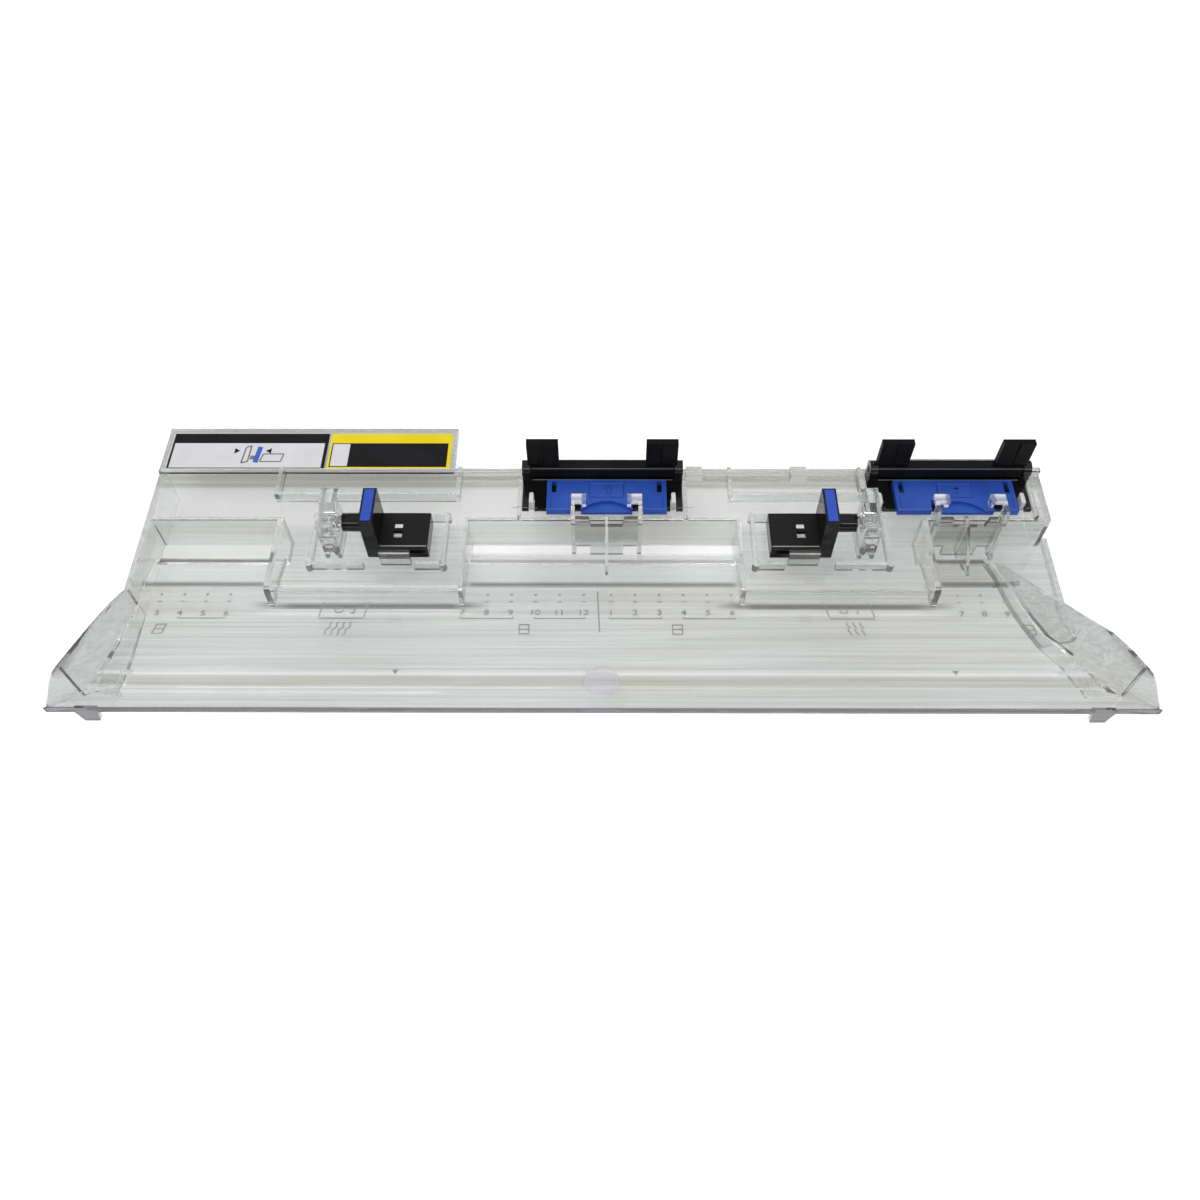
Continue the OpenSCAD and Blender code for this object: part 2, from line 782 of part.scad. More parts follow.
module latch_plate(hook_shift) {
    color([0.16, 0.3, 0.75]) place() on_shelf() difference() {
        translate([plate_shift, 0, 0]) {
            block([-plate_w / 2, plate_y, plate_low], [plate_w / 2, plate_back, plate_high]);
            // raised centre panel
            translate([-panel_w / 2, plate_y + panel_front, plate_high - eps])
                cube([panel_w, plate_back - 2 - plate_y - panel_front, panel_h + eps]);
        }
        translate([plate_shift, 0, 0]) both_sides() block(
            [slot_x - slot_w / 2, slot_front, 0],
            [slot_x + slot_w / 2, slot_back, plate_high + 1]
        );
        // notches round the hooks
        translate([hook_shift, 0, 0]) both_sides()
            block([notch_in, plate_y - 1, 0], [notch_out, plate_y + notch_d, plate_high + 1]);
        // finger scoop
        translate([plate_shift, plate_y + scoop_d - scoop_r, plate_high - scoop_h])
            cylinder(r = scoop_r, h = 2 * scoop_h, $fn = 96);
    }
}

module card_gate() {
    color([0.05, 0.05, 0.055]) place() on_shelf() {
        // bar with rounded edges, turning on its two trunnions
        translate([0, gate_y, gate_axis_h]) {
            rotate([0, 90, 0]) intersection() {
                cylinder(r = bar_t * 0.6, h = 2 * bar_half, center = true);
                cube([bar_t, bar_t, 2 * bar_half], center = true);
            }
            rotate([0, 90, 0]) cylinder(d = trunnion_d, h = frame_w - 0.2, center = true);
        }
        both_sides() flag();
    }
}

module flag() {
    outer = flag_span / 2;
    foot = gate_axis_h + knuckle_d / 2 + gap;
    difference() {
        block([outer - flag_w, gate_y - flag_t / 2, foot - 2], [outer, gate_y + flag_t / 2, flag_top]);
        // clearance over the knuckle
        block([bar_half, gate_y - 5, 0], [outer + 1, gate_y + 5, foot]);
        // central groove
        translate([outer - flag_w / 2, gate_y - flag_t / 2, foot])
            block([-0.5, -flag_t / 2, 0], [0.5, 0.6, flag_top]);
    }
    // foot that joins the flag to the bar
    block([outer - flag_w, gate_y - flag_t / 2, gate_axis_h], [bar_half, gate_y + flag_t / 2, foot + 1]);
}

// Clear pegs, side ribs and the hooked cradle that hold a retainer on the shelf.
module retainer_seat(x, hook_shift) {
    translate([x, 0, 0]) on_shelf() both_sides() {
        raised(0, peg_h) plan_slot(peg_x, peg_w, foot_y + 1, foot_y + 1 + peg_l);
        block([frame_w / 2 + gap, shelf_y, 0], [frame_w / 2 + gap + rib_t, gate_y + 3, 3]);
    }
    translate([x + hook_shift, 0, 0]) {
        on_shelf() both_sides() hook();
        cradle_web();
        fin();
    }
}

peg_h = 5;
hook_foot = floor_y + 0.5;
arm_face = plate_y - 0.6; // back face of the hooks' upright arms
arm_back = plate_y + hook_reach;

module hook() {
    low = floor_z - platform_z - eps;
    top = slide_h;
    outline = [
        [hook_foot, low], [shelf_y + 1, low], [shelf_y + 1, 0], [arm_face, 0],
        [arm_face, top - hook_wall], [arm_back, top - hook_wall], [arm_back, top],
        [arm_face - 4, top], [web_y, plate_high + 1.5],
    ];
    slab_x(hook_out - hook_wall, hook_out) polygon(outline);
    block([hook_in, plate_y + 0.6, top - hook_wall], [hook_out, arm_back, top]);
    block([hook_in, plate_y + 1.5, plate_high + gap], [hook_in + hook_wall, arm_back - 0.6, top]);
}

// The stepped web between the hooks, with two windows at its foot.
web_step = 6.5;
web_low = platform_z + 1.4;
window_h = 6;
window_z = 3;

module cradle_web() {
    x = hook_out - hook_wall;
    top = platform_z + plate_high + 1.3;
    outline = [
        [-x, floor_z - eps], [x, floor_z - eps], [x, top], [web_step + 1, top],
        [web_step, web_low], [-web_step, web_low], [-web_step - 1, top], [-x, top],
    ];
    slab_y(web_y, web_y + hook_wall) difference() {
        polygon(outline);
        both_sides() translate([(x + web_step) / 2, floor_z + window_z])
            square([x - web_step - 1, window_h], center = true);
    }
}

// A thin fin that runs down the ramp in front of the web.
fin_y = ramp_y + 6;
fin_t = 1.2;

module fin() {
    outline = [
        [fin_y, ramp_at(fin_y) - 1], [fin_y, ramp_at(fin_y) + 0.5], [web_y, web_low],
        [shelf_y + 1, web_low], [shelf_y + 1, floor_z - 1], [floor_y, floor_z - 1],
    ];
    slab_x(-fin_t / 2, fin_t / 2) polygon(outline);
}

// ---------- the pieces by side ----------

module left_pinch_slide() { mirror([1, 0, 0]) place() latch_slide(left_latch_x); }
module left_pinch_pad() { mirror([1, 0, 0]) place() latch_pad(left_latch_x); }
module left_pinch_spring() { mirror([1, 0, 0]) place() latch_spring(left_latch_x); }
module right_pinch_slide() { place() latch_slide(right_latch_x); }
module right_pinch_pad() { place() latch_pad(right_latch_x); }
module right_pinch_spring() { place() latch_spring(right_latch_x); }
module centre_retainer_frame() { retainer_frame(); }
module centre_latch_plate() { latch_plate(centre_hook_shift); }
module centre_card_gate() { card_gate(); }
module side_retainer_frame() { translate([side_retainer_x, 0, 0]) retainer_frame(); }
module side_latch_plate() { translate([side_retainer_x, 0, 0]) latch_plate(side_hook_shift); }
module side_card_gate() { translate([side_retainer_x, 0, 0]) card_gate(); }

baffle_shell();
white_label();
yellow_label();
left_pinch_slide();
left_pinch_pad();
left_pinch_spring();
right_pinch_slide();
right_pinch_pad();
right_pinch_spring();
centre_retainer_frame();
centre_latch_plate();
centre_card_gate();
side_retainer_frame();
side_latch_plate();
side_card_gate();
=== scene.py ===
import math

import bpy
import bmesh
from mathutils import Matrix, Vector


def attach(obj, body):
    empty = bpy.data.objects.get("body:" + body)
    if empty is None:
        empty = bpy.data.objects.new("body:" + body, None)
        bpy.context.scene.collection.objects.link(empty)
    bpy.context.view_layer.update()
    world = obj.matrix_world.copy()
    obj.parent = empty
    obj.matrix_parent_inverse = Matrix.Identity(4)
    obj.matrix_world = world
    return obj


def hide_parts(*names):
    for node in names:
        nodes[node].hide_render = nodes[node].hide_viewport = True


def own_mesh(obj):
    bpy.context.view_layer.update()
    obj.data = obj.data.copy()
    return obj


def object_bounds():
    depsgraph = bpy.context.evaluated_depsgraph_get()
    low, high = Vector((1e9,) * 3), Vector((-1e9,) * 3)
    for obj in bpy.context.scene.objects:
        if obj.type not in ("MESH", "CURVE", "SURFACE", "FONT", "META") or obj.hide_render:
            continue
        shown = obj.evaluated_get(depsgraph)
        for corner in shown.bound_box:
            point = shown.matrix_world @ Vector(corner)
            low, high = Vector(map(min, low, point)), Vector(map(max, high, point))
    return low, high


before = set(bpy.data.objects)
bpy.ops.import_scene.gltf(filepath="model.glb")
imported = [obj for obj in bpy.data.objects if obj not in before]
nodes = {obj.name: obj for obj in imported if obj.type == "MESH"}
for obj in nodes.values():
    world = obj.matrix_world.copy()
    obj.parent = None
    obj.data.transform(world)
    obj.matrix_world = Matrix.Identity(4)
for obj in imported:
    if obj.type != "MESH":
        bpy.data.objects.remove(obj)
cad_box = [list(map(float, corner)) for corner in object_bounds()]

MM = 0.001
PHOTO_PX = 1200

# ---------------------------------------------------------------- places
# y_in counts from the front lip, z_up from the front deck's upper face, all in millimetres
DECK_Z = 10.5
STEP_Z = 10.0
LIP_Y = cad_box[0][1] / MM


def at(x, y_in, z_up):
    """A point in metres in the row frame."""
    return Vector((x * MM, (LIP_Y + y_in) * MM, (DECK_Z + z_up) * MM))


# ---------------------------------------------------------------- node helpers
def new_material(name):
    mat = bpy.data.materials.new(name)
    mat.use_nodes = True
    tree = mat.node_tree
    tree.nodes.clear()
    return mat, tree


def add(tree, kind, **settings):
    node = tree.nodes.new(kind)
    for key, value in settings.items():
        if key == "inputs":
            for socket, v in value.items():
                node.inputs[socket].default_value = v
        else:
            setattr(node, key, value)
    return node


def link(tree, a, b):
    tree.links.new(a, b)


def coords(tree, scale=(1, 1, 1)):
    tex = add(tree, "ShaderNodeTexCoord")
    mapping = add(tree, "ShaderNodeMapping")
    mapping.inputs["Scale"].default_value = scale
    link(tree, tex.outputs["Object"], mapping.inputs["Vector"])
    return mapping.outputs["Vector"]


def noise(tree, vector, scale, detail=3.0, rough=0.5):
    node = add(tree, "ShaderNodeTexNoise", inputs={"Scale": scale, "Detail": detail, "Roughness": rough})
    link(tree, vector, node.inputs["Vector"])
    return node.outputs["Fac"]


def ramp(tree, fac, stops):
    node = add(tree, "ShaderNodeValToRGB")
    elements = node.color_ramp.elements
    while len(elements) < len(stops):
        elements.new(0.5)
    for element, (pos, colour) in zip(elements, stops):
        element.position = pos
        element.color = (*colour, 1)
    link(tree, fac, node.inputs["Fac"])
    return node.outputs["Color"]


def remap(tree, value, low, high):
    node = add(tree, "ShaderNodeMapRange")
    node.inputs["To Min"].default_value = low
    node.inputs["To Max"].default_value = high
    link(tree, value, node.inputs["Value"])
    return node.outputs["Result"]


def bump(tree, height, strength, distance):
    node = add(tree, "ShaderNodeBump", inputs={"Strength": strength, "Distance": distance})
    link(tree, height, node.inputs["Height"])
    return node.outputs["Normal"]


# ---------------------------------------------------------------- masks in a material
# Stops are (place in millimetres, strength). Heights count from the table, and "width" is the distance from
# the middle of the part.
def window(tree, value, stops):
    """A smooth mask along one coordinate."""
    low, high = stops[0][0], stops[-1][0]
    node = add(tree, "ShaderNodeMapRange", inputs={"From Min": low * MM, "From Max": high * MM})
    link(tree, value, node.inputs["Value"])
    greys = [((place - low) / (high - low), (v, v, v)) for place, v in stops]
    return ramp(tree, node.outputs["Result"], greys)


def spans(ranges, fade):
    """Stops of a mask that is 1 in each of the ranges and fades out beyond them."""
    stops = []
    for low, high in ranges:
        stops += [(low - fade, 0), (low, 1), (high, 1), (high + fade, 0)]
    return stops


def band(y_in, half, fade=0.6):
    """Stops of a band across the depth, round y_in."""
    middle = LIP_Y + y_in
    return spans([(middle - half, middle + half)], fade)


def calc(tree, operation, a, b):
    node = add(tree, "ShaderNodeMath", operation=operation)
    for socket, value in zip(node.inputs, (a, b)):
        if isinstance(value, (int, float)):
            socket.default_value = value
        else:
            link(tree, value, socket)
    return node.outputs["Value"]


def product(tree, first, *others):
    """Masks and shares multiplied together."""
    result = first
    for factor in others:
        result = calc(tree, "MULTIPLY", result, factor)
    return result


def tint(tree, colour, shade, fac, blend="MULTIPLY"):
    """Multiplies a colour by a shade, or mixes the shade in, as far as the mask fac says."""
    node = add(tree, "ShaderNodeMix", data_type="RGBA", blend_type=blend)
    node.inputs[7].default_value = (*shade, 1)
    link(tree, fac, node.inputs[0])
    link(tree, colour, node.inputs[6])
    return node.outputs[2]


def shaded_point(tree):
    """The coordinates x, y and z of the shaded point in the row frame, and its distance from the middle."""
    place = add(tree, "ShaderNodeTexCoord")
    split = add(tree, "ShaderNodeSeparateXYZ")
    link(tree, place.outputs["Object"], split.inputs["Vector"])
    x, y, z = split.outputs
    return x, y, z, calc(tree, "ABSOLUTE", x, 0.0)


# heights
DECK_FACE = spans([(7.9, 10.7)], 0.5)
SHELF_FACE = spans([(18.3, 20.7)], 0.5)
BELOW_DECK = ((0, 1), (10.2, 1), (10.6, 0))
RISER_LINE = spans([(3.2, 4.0)], 0.4)
RISER_FOOT = ((4, 0), (4.6, 1), (8, 1), (13, 0))
RISER_TOP = ((9, 0), (13, 1), (20.8, 1), (21.2, 0))
WEB_HEIGHT = ((11.2, 0), (11.6, 1), (27, 1), (27.5, 0))
WING_TOPS = ((27, 0), (31.5, 1))
HOOK_HEIGHT = ((28.4, 0), (28.6, 1))
PEG_HEIGHT = spans([(21, 25.8)], 0.2)
VALLEY_FLOOR = ((2.8, 1), (3.2, 0))
RAMP_FOOT = ((4.2, 1), (5, 0))
# places across the width, the last three signed
PLATFORM_FEET = ((46, 0), (62, 1), (128, 1), (146, 0))
BESIDE_PLATFORMS = ((0, 1), (54, 1), (58, 0), (136, 0), (139, 1), (200, 1))
CENTRE_VALLEY = ((0, 1), (56, 1), (57.5, 0))
CRADLES = ((0, 1), (16.5, 1), (17, 0), (137.5, 0), (138, 1), (168, 1), (168.5, 0))
WINGS = ((186, 0), (190, 1))
PEG_ROWS = spans([(28.9, 31.1), (115.9, 118.1), (175.9, 178.1)], 0.2)
VALLEYS = ((-200, 1), (-139, 1), (-136, 0), (-58, 0), (-54, 1), (54, 1), (58, 0))
HOOK_TIPS = spans([(-13, -8.8), (12.4, 16.7), (138.2, 142.6), (163.6, 168)], 0.2)
BESIDE_WEB = ((-57.5, 0), (-56, 1), (-5.6, 1), (-5, 0), (8.6, 0), (9.2, 1), (56, 1), (57.5, 0))
# the hooks' tips are whitest on their two rims: places behind the lip
HOOK_RIMS = ((85.2, 0), (85.4, 1), (86.4, 1), (87.0, 0.3), (89.0, 0.3), (89.4, 1), (90.6, 1), (90.8, 0))
# painted light: the ramps, the riser's top and the shelf are mixed this far towards these lighter colours
RAMP_PAINTED_LIGHT = (0.96, 0.965, 0.96)
RAMP_SHARE = 0.62
SHELF_PAINTED_LIGHT = (0.985, 0.99, 0.985)
SHELF_SHARE = 0.95
# the white of the painted highlights along the groove's edges and the step
WHITE = (1, 1, 1)


def shaded_bends(tree, colour):
    """Painted shade where the sheet bends, at ramps, platforms' feet and lip, and painted light on its lit
    faces.
    """
    x, y, z, width = shaded_point(tree)
    on_deck = window(tree, z, DECK_FACE)
    on_shelf = window(tree, z, SHELF_FACE)
    feet = window(tree, width, PLATFORM_FEET)
    on_riser = window(tree, y, band(84.7, 0.7, 0.2))
    centre = window(tree, width, CENTRE_VALLEY)
    between = window(tree, width, BESIDE_PLATFORMS)
    web = (window(tree, z, WEB_HEIGHT), window(tree, width, CRADLES))
    wings = (window(tree, z, WING_TOPS), window(tree, width, WINGS))
    darker = (
        # painted shade in two lines along the back of the shelf
        ((0.8, 0.79, 0.75), (window(tree, y, band(107.5, 1.6, 0.5)), on_shelf)),
        ((0.78, 0.78, 0.75), (window(tree, y, band(103.6, 0.9, 0.5)), on_shelf)),
        # painted shade at the tops of the ramps and at the platforms' feet
        ((0.42, 0.42, 0.42), (window(tree, y, band(59.0, 1.0)), on_deck, between)),
        ((0.18, 0.18, 0.18), (window(tree, y, band(48.1, 1.0)), on_deck, feet)),
        # painted shade on the webs under the hooks
        ((0.78, 0.78, 0.77), (window(tree, y, band(80.5, 1.0, 0.2)), *web)),
        # painted shade at the foot of the shelf's riser
        ((0.35, 0.35, 0.35), (on_riser, window(tree, z, RISER_LINE), centre)),
        ((0.82, 0.82, 0.81), (on_riser, window(tree, z, RISER_FOOT), centre)),
        # the groove a little darker and beige, and painted shade along the lip's front edge and the wings'
        # tops
        ((0.86, 0.85, 0.8), (window(tree, y, band(12.8, 2.0, 0.4)), on_deck)),
        ((0.16, 0.15, 0.18), (window(tree, y, band(-0.6, 1.0, 0.3)),)),
        ((0.66, 0.64, 0.7), wings),
    )
    for shade, parts in darker:
        colour = tint(tree, colour, shade, product(tree, *parts))
    valleys = (window(tree, x, VALLEYS), window(tree, z, BELOW_DECK))
    brighter = (
        # painted highlights along the groove's two edges and the step in front of the platforms
        (WHITE, (window(tree, y, band(16.4, 0.6, 0.4)), on_deck)),
        (WHITE, (window(tree, y, band(9.4, 0.4, 0.4)), on_deck)),
        (WHITE, (window(tree, y, band(43.9, 0.6, 0.4)), on_deck, feet)),
        # painted light on the shelf, the top of its riser, and the valleys with their ramps
        (SHELF_PAINTED_LIGHT, (window(tree, y, band(91.5, 9.0, 3.0)), on_shelf, SHELF_SHARE)),
        (RAMP_PAINTED_LIGHT, (on_riser, centre, window(tree, z, RISER_TOP), RAMP_SHARE)),
        (RAMP_PAINTED_LIGHT, (window(tree, y, band(72.5, 12.5, 1.0)), *valleys, RAMP_SHARE)),
    )
    for shade, parts in brighter:
        colour = tint(tree, colour, shade, product(tree, *parts), "MIX")
    return colour


def milky_tips_and_painted_light(tree):
    """Masks of the textured hook tips and pegs, and of painted light: a bright strip on the valley floor and
    its ramp's foot.
    """
    x, y, z, width = shaded_point(tree)
    rims = [(LIP_Y + place, v) for place, v in HOOK_RIMS]
    hooks = product(tree, window(tree, y, rims), window(tree, z, HOOK_HEIGHT), window(tree, x, HOOK_TIPS))
    pegs = product(tree, window(tree, y, band(92.8, 3.0, 0.2)), window(tree, z, PEG_HEIGHT),
                   window(tree, width, PEG_ROWS))
    marks = calc(tree, "MAXIMUM", hooks, pegs)
    # painted light: a lighter, less clear strip on the valley floor and at its ramp's foot
    strip = product(tree, window(tree, y, band(82.9, 2.3, 0.5)), window(tree, z, VALLEY_FLOOR),
                    window(tree, x, BESIDE_WEB))
    foot = product(tree, window(tree, y, band(75.4, 1.8, 0.8)), window(tree, z, RAMP_FOOT),
                   window(tree, width, CENTRE_VALLEY))
    return marks, strip, foot


# ---------------------------------------------------------------- materials
POLYCARBONATE_IOR = 1.47
# coordinates are stretched along the width, as the melt flowed
STREAK_SCALE = (1.3, 130, 130)
WAVE_SCALE = (1.2, 240, 240)
WARM_SCALE = (9, 26, 26)
HAZE_SCALE = (20, 20, 20)
# where on the noise the tones begin and end
STREAK_STOPS = (0.36, 0.62)
WARM_STOPS = ((0.5, (0, 0, 0)), (0.62, (1, 1, 1)))
TONE_STOPS = (0.3, 0.7)
WARM_SHADE = (0.97, 0.955, 0.915)
WARM_SHARE = 0.7
# colours of the milky hook tips and pegs, then of the painted light on the valley floor's strip and its
# ramp's foot
MILKY_AND_PAINTED_LIGHT_SHADES = ((0.74, 0.745, 0.75), (0.84, 0.84, 0.85), (0.74, 0.745, 0.74))
MILKY_LOSS = 0.6  # how much of the transmission a milky spot or a patch of painted light takes away


def clear_plastic(name, dark, light, rough, through_share, shadow, bends=False):
    """Moulded polycarbonate: streaked along the flow, a little hazy, with waves in its faces."""
    mat, tree = new_material(name)
    out = add(tree, "ShaderNodeOutputMaterial")
    body = add(tree, "ShaderNodeBsdfPrincipled")
    body.inputs["Transmission Weight"].default_value = through_share
    body.inputs["IOR"].default_value = POLYCARBONATE_IOR
    streak = noise(tree, coords(tree, STREAK_SCALE), scale=6.0, detail=6.0, rough=0.68)
    colour = ramp(tree, streak, list(zip(STREAK_STOPS, (dark, light))))
    warm = noise(tree, coords(tree, WARM_SCALE), scale=1.3, detail=2.0)
    warm = remap(tree, ramp(tree, warm, WARM_STOPS), 0.0, WARM_SHARE)
    colour = tint(tree, colour, WARM_SHADE, warm)
    # painted shade and painted light at the bends, then the milky tips and pegs and two patches of painted
    # light
    if bends:
        colour = shaded_bends(tree, colour)
        milky = 0.0
        for shade, mask in zip(MILKY_AND_PAINTED_LIGHT_SHADES, milky_tips_and_painted_light(tree)):
            colour = tint(tree, colour, shade, mask, "MIX")
            milky = calc(tree, "MAXIMUM", milky, mask)
        clear = calc(tree, "SUBTRACT", through_share, product(tree, milky, MILKY_LOSS))
        link(tree, clear, body.inputs["Transmission Weight"])
    link(tree, colour, body.inputs["Base Color"])
    haze = noise(tree, coords(tree, HAZE_SCALE), scale=4.0)
    link(tree, remap(tree, haze, *rough), body.inputs["Roughness"])
    flow = noise(tree, coords(tree, WAVE_SCALE), scale=3.0, detail=2.0)
    link(tree, bump(tree, flow, strength=0.04, distance=0.0003), body.inputs["Normal"])
    # light passes through the sheet on its way to the table
    through = add(tree, "ShaderNodeBsdfTransparent")
    through.inputs["Color"].default_value = (shadow, shadow, shadow, 1)
    path = add(tree, "ShaderNodeLightPath")
    mix = add(tree, "ShaderNodeMixShader")
    link(tree, path.outputs["Is Shadow Ray"], mix.inputs["Fac"])
    link(tree, body.outputs["BSDF"], mix.inputs[1])
    link(tree, through.outputs["BSDF"], mix.inputs[2])
    link(tree, mix.outputs["Shader"], out.inputs["Surface"])
    return mat


TEXTURE_ROUGHNESS = 0.4


def moulded(name, dark, light, rough, grain=1400.0, specular=0.5, depth=0.00004, strength=0.25, matt=None):
    """Opaque moulded plastic with a fine grain and slight colour variation, matt at the heights given."""
    mat, tree = new_material(name)
    out = add(tree, "ShaderNodeOutputMaterial")
    body = add(tree, "ShaderNodeBsdfPrincipled")
    vector = coords(tree)
    tone = noise(tree, vector, scale=90.0, detail=4.0)
    tones = ramp(tree, tone, list(zip(TONE_STOPS, (dark, light))))
    link(tree, tones, body.inputs["Base Color"])
    smear = noise(tree, vector, scale=160.0, detail=5.0, rough=0.6)
    gloss = remap(tree, smear, *rough)
    body.inputs["Specular IOR Level"].default_value = specular
    if matt:
        z = shaded_point(tree)[2]
        gloss = calc(tree, "ADD", gloss, product(tree, window(tree, z, matt), TEXTURE_ROUGHNESS))
    link(tree, gloss, body.inputs["Roughness"])
    fine = noise(tree, vector, scale=grain, detail=2.0)
    link(tree, bump(tree, fine, strength, depth), body.inputs["Normal"])
    link(tree, body.outputs["BSDF"], out.inputs["Surface"])
    return mat


STEEL_TONES = ((0.42, 0.42, 0.44), (0.62, 0.62, 0.64))
STEEL_ROUGHNESS = (0.22, 0.4)


def steel(name):
    mat, tree = new_material(name)
    out = add(tree, "ShaderNodeOutputMaterial")
    body = add(tree, "ShaderNodeBsdfPrincipled")
    body.inputs["Metallic"].default_value = 1.0
    tone = noise(tree, coords(tree), scale=700.0, detail=3.0)
    tones = ramp(tree, tone, list(zip(TONE_STOPS, STEEL_TONES)))
    link(tree, tones, body.inputs["Base Color"])
    link(tree, remap(tree, tone, *STEEL_ROUGHNESS), body.inputs["Roughness"])
    link(tree, body.outputs["BSDF"], out.inputs["Surface"])
    return mat


def film(name, dark, light):
    return moulded(name, dark, light, (0.3, 0.42), grain=500.0, specular=0.12, depth=0.00002, strength=0.12)


BLACK_RANGE = ((0.003, 0.003, 0.0034), (0.006, 0.006, 0.0068))
# heights of the spark-eroded texture: the gate's bar below and above its lit edge, and the slides' flat tops
GATE_TEXTURE = spans([(26.2, 31.4)], 0.4) + [(34.3, 0), (34.9, 1)]
SLIDE_TEXTURE = spans([(30.2, 30.7)], 0.2)

CLEAR = clear_plastic("clear_polycarbonate", (0.68, 0.695, 0.685), (0.9, 0.915, 0.91), (0.015, 0.05),
                      0.95, 0.92, bends=True)
DISC = clear_plastic("frosted_disc", (0.56, 0.56, 0.6), (0.66, 0.66, 0.7), (0.25, 0.4), 0.5, 0.9)
MARK = moulded("moulded_marks", (0.2, 0.205, 0.2), (0.27, 0.275, 0.27), (0.3, 0.5))
BLACK = moulded("black_plastic", *BLACK_RANGE, (0.14, 0.24), specular=0.4)
GATE = moulded("black_gate", *BLACK_RANGE, (0.12, 0.2), specular=0.12, matt=GATE_TEXTURE)
BLUE = moulded("blue_plastic", (0.017, 0.062, 0.335), (0.024, 0.08, 0.39), (0.3, 0.45), specular=0.3)
PAD = moulded("pad_blue", (0.02, 0.062, 0.38), (0.028, 0.08, 0.45), (0.35, 0.5), specular=0.3)
SLIDE = moulded("black_slide", *BLACK_RANGE, (0.08, 0.14), specular=0.3, matt=SLIDE_TEXTURE)
# painted highlights: light lines that stand for the glints along the gates' bars and the retainers' feet
EDGE_HIGHLIGHT = moulded("painted_edge_highlight", (0.12, 0.12, 0.125), (0.2, 0.2, 0.205), (0.3, 0.4))
# a painted highlight along the slides' top front edges
SLIDE_HIGHLIGHT = moulded("painted_slide_highlight", (0.3, 0.3, 0.3), (0.45, 0.45, 0.45), (0.3, 0.4))
# painted light: a pale frosted tab stands for the brightness seen through each slide's rear window
WINDOW_LIGHT = moulded("painted_window_light", (0.6, 0.61, 0.61), (0.72, 0.73, 0.73), (0.3, 0.4))
DARK_INK = moulded("blue_black_recess", (0.003, 0.006, 0.03), (0.005, 0.01, 0.045), (0.5, 0.6), specular=0.2)
# painted highlights along the edges of plates and panels, and a darker blue for the large arrows and for the
# grooves' painted shade
LIT_BLUE = moulded("blue_edge", (0.04, 0.12, 0.5), (0.05, 0.15, 0.58), (0.3, 0.4), specular=0.4)
ARROW_AND_GROOVE_BLUE = moulded("blue_recess", (0.01, 0.03, 0.17), (0.015, 0.042, 0.22), (0.4, 0.5), specular=0.3)
STEEL = steel("spring_steel")
WHITE_FILM = film("label_white", (0.55, 0.55, 0.57), (0.6, 0.6, 0.62))
YELLOW_FILM = film("label_yellow", (0.66, 0.53, 0.012), (0.72, 0.58, 0.02))
BLACK_FILM = film("label_black", (0.007, 0.007, 0.008), (0.012, 0.012, 0.014))
GREY_FILM = film("label_grey", (0.12, 0.12, 0.13), (0.18, 0.18, 0.19))
BLUE_FILM = film("label_blue", (0.04, 0.1, 0.42), (0.05, 0.13, 0.48))


BEVEL_ANGLE = math.radians(35)


def finish_node(name, mat, edge=0.0, segments=2):
    """Gives a CAD node its material and, where edge is set, soft edges of that many millimetres."""
    obj = nodes[name]
    obj.data.materials.clear()
    obj.data.materials.append(mat)
    if edge:
        mod = obj.modifiers.new("soft_edges", "BEVEL")
        mod.width = edge * MM
        mod.segments = segments
        mod.limit_method = "ANGLE"
        mod.angle_limit = BEVEL_ANGLE
        mod.harden_normals = False


finish_node("baffle_shell", CLEAR)
for side in ("left", "right"):
    finish_node(f"{side}_pinch_slide", SLIDE, 0.2, 3)
    finish_node(f"{side}_pinch_pad", PAD, 0.2)
    finish_node(f"{side}_pinch_spring", STEEL)
for place in ("centre", "side"):
    finish_node(f"{place}_retainer_frame", BLACK, 0.3, 3)
    finish_node(f"{place}_card_gate", GATE, 0.3, 3)
    finish_node(f"{place}_latch_plate", BLUE, 0.12)
finish_node("white_label", WHITE_FILM)
finish_node("yellow_label", YELLOW_FILM)


# ---------------------------------------------------------------- flat pieces
def prisms(name, outlines, low, high, mat, slot, body="root"):
    """One piece of upright prisms; each outline is a list of (x, y_in) points in millimetres."""
    bm = bmesh.new()
    for outline in outlines:
        bottom = [bm.verts.new(at(x, y, low)) for x, y in outline]
        top = [bm.verts.new(at(x, y, high)) for x, y in outline]
        count = len(outline)
        bm.faces.new(bottom[::-1])
        bm.faces.new(top)
        for k in range(count):
            n = (k + 1) % count
            bm.faces.new((bottom[k], bottom[n], top[n], top[k]))
    bmesh.ops.recalc_face_normals(bm, faces=bm.faces[:])
    keep(name, bm, mat, body)


def keep(name, bm, mat, body):
    """Makes a piece from a bmesh, riding on a CAD body."""
    mesh = bpy.data.meshes.new(name)
    bm.to_mesh(mesh)
    bm.free()
    mesh.materials.append(mat)
    piece = bpy.data.objects.new(name, mesh)
    bpy.context.collection.objects.link(piece)
    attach(piece, body)


def rectangle(x1, y1, x2, y2):
    return [(x1, y1), (x2, y1), (x2, y2), (x1, y2)]


def rounded(x1, y1, x2, y2, r, steps):
    """A rectangle with round corners."""
    points = []
    corners = ((x2 - r, y1 + r, -90), (x2 - r, y2 - r, 0), (x1 + r, y2 - r, 90), (x1 + r, y1 + r, 180))
    for cx, cy, start in corners:
        for k in range(steps + 1):
            a = math.radians(start + 90 * k / steps)
            points.append((cx + r * math.cos(a), cy + r * math.sin(a)))
    return points


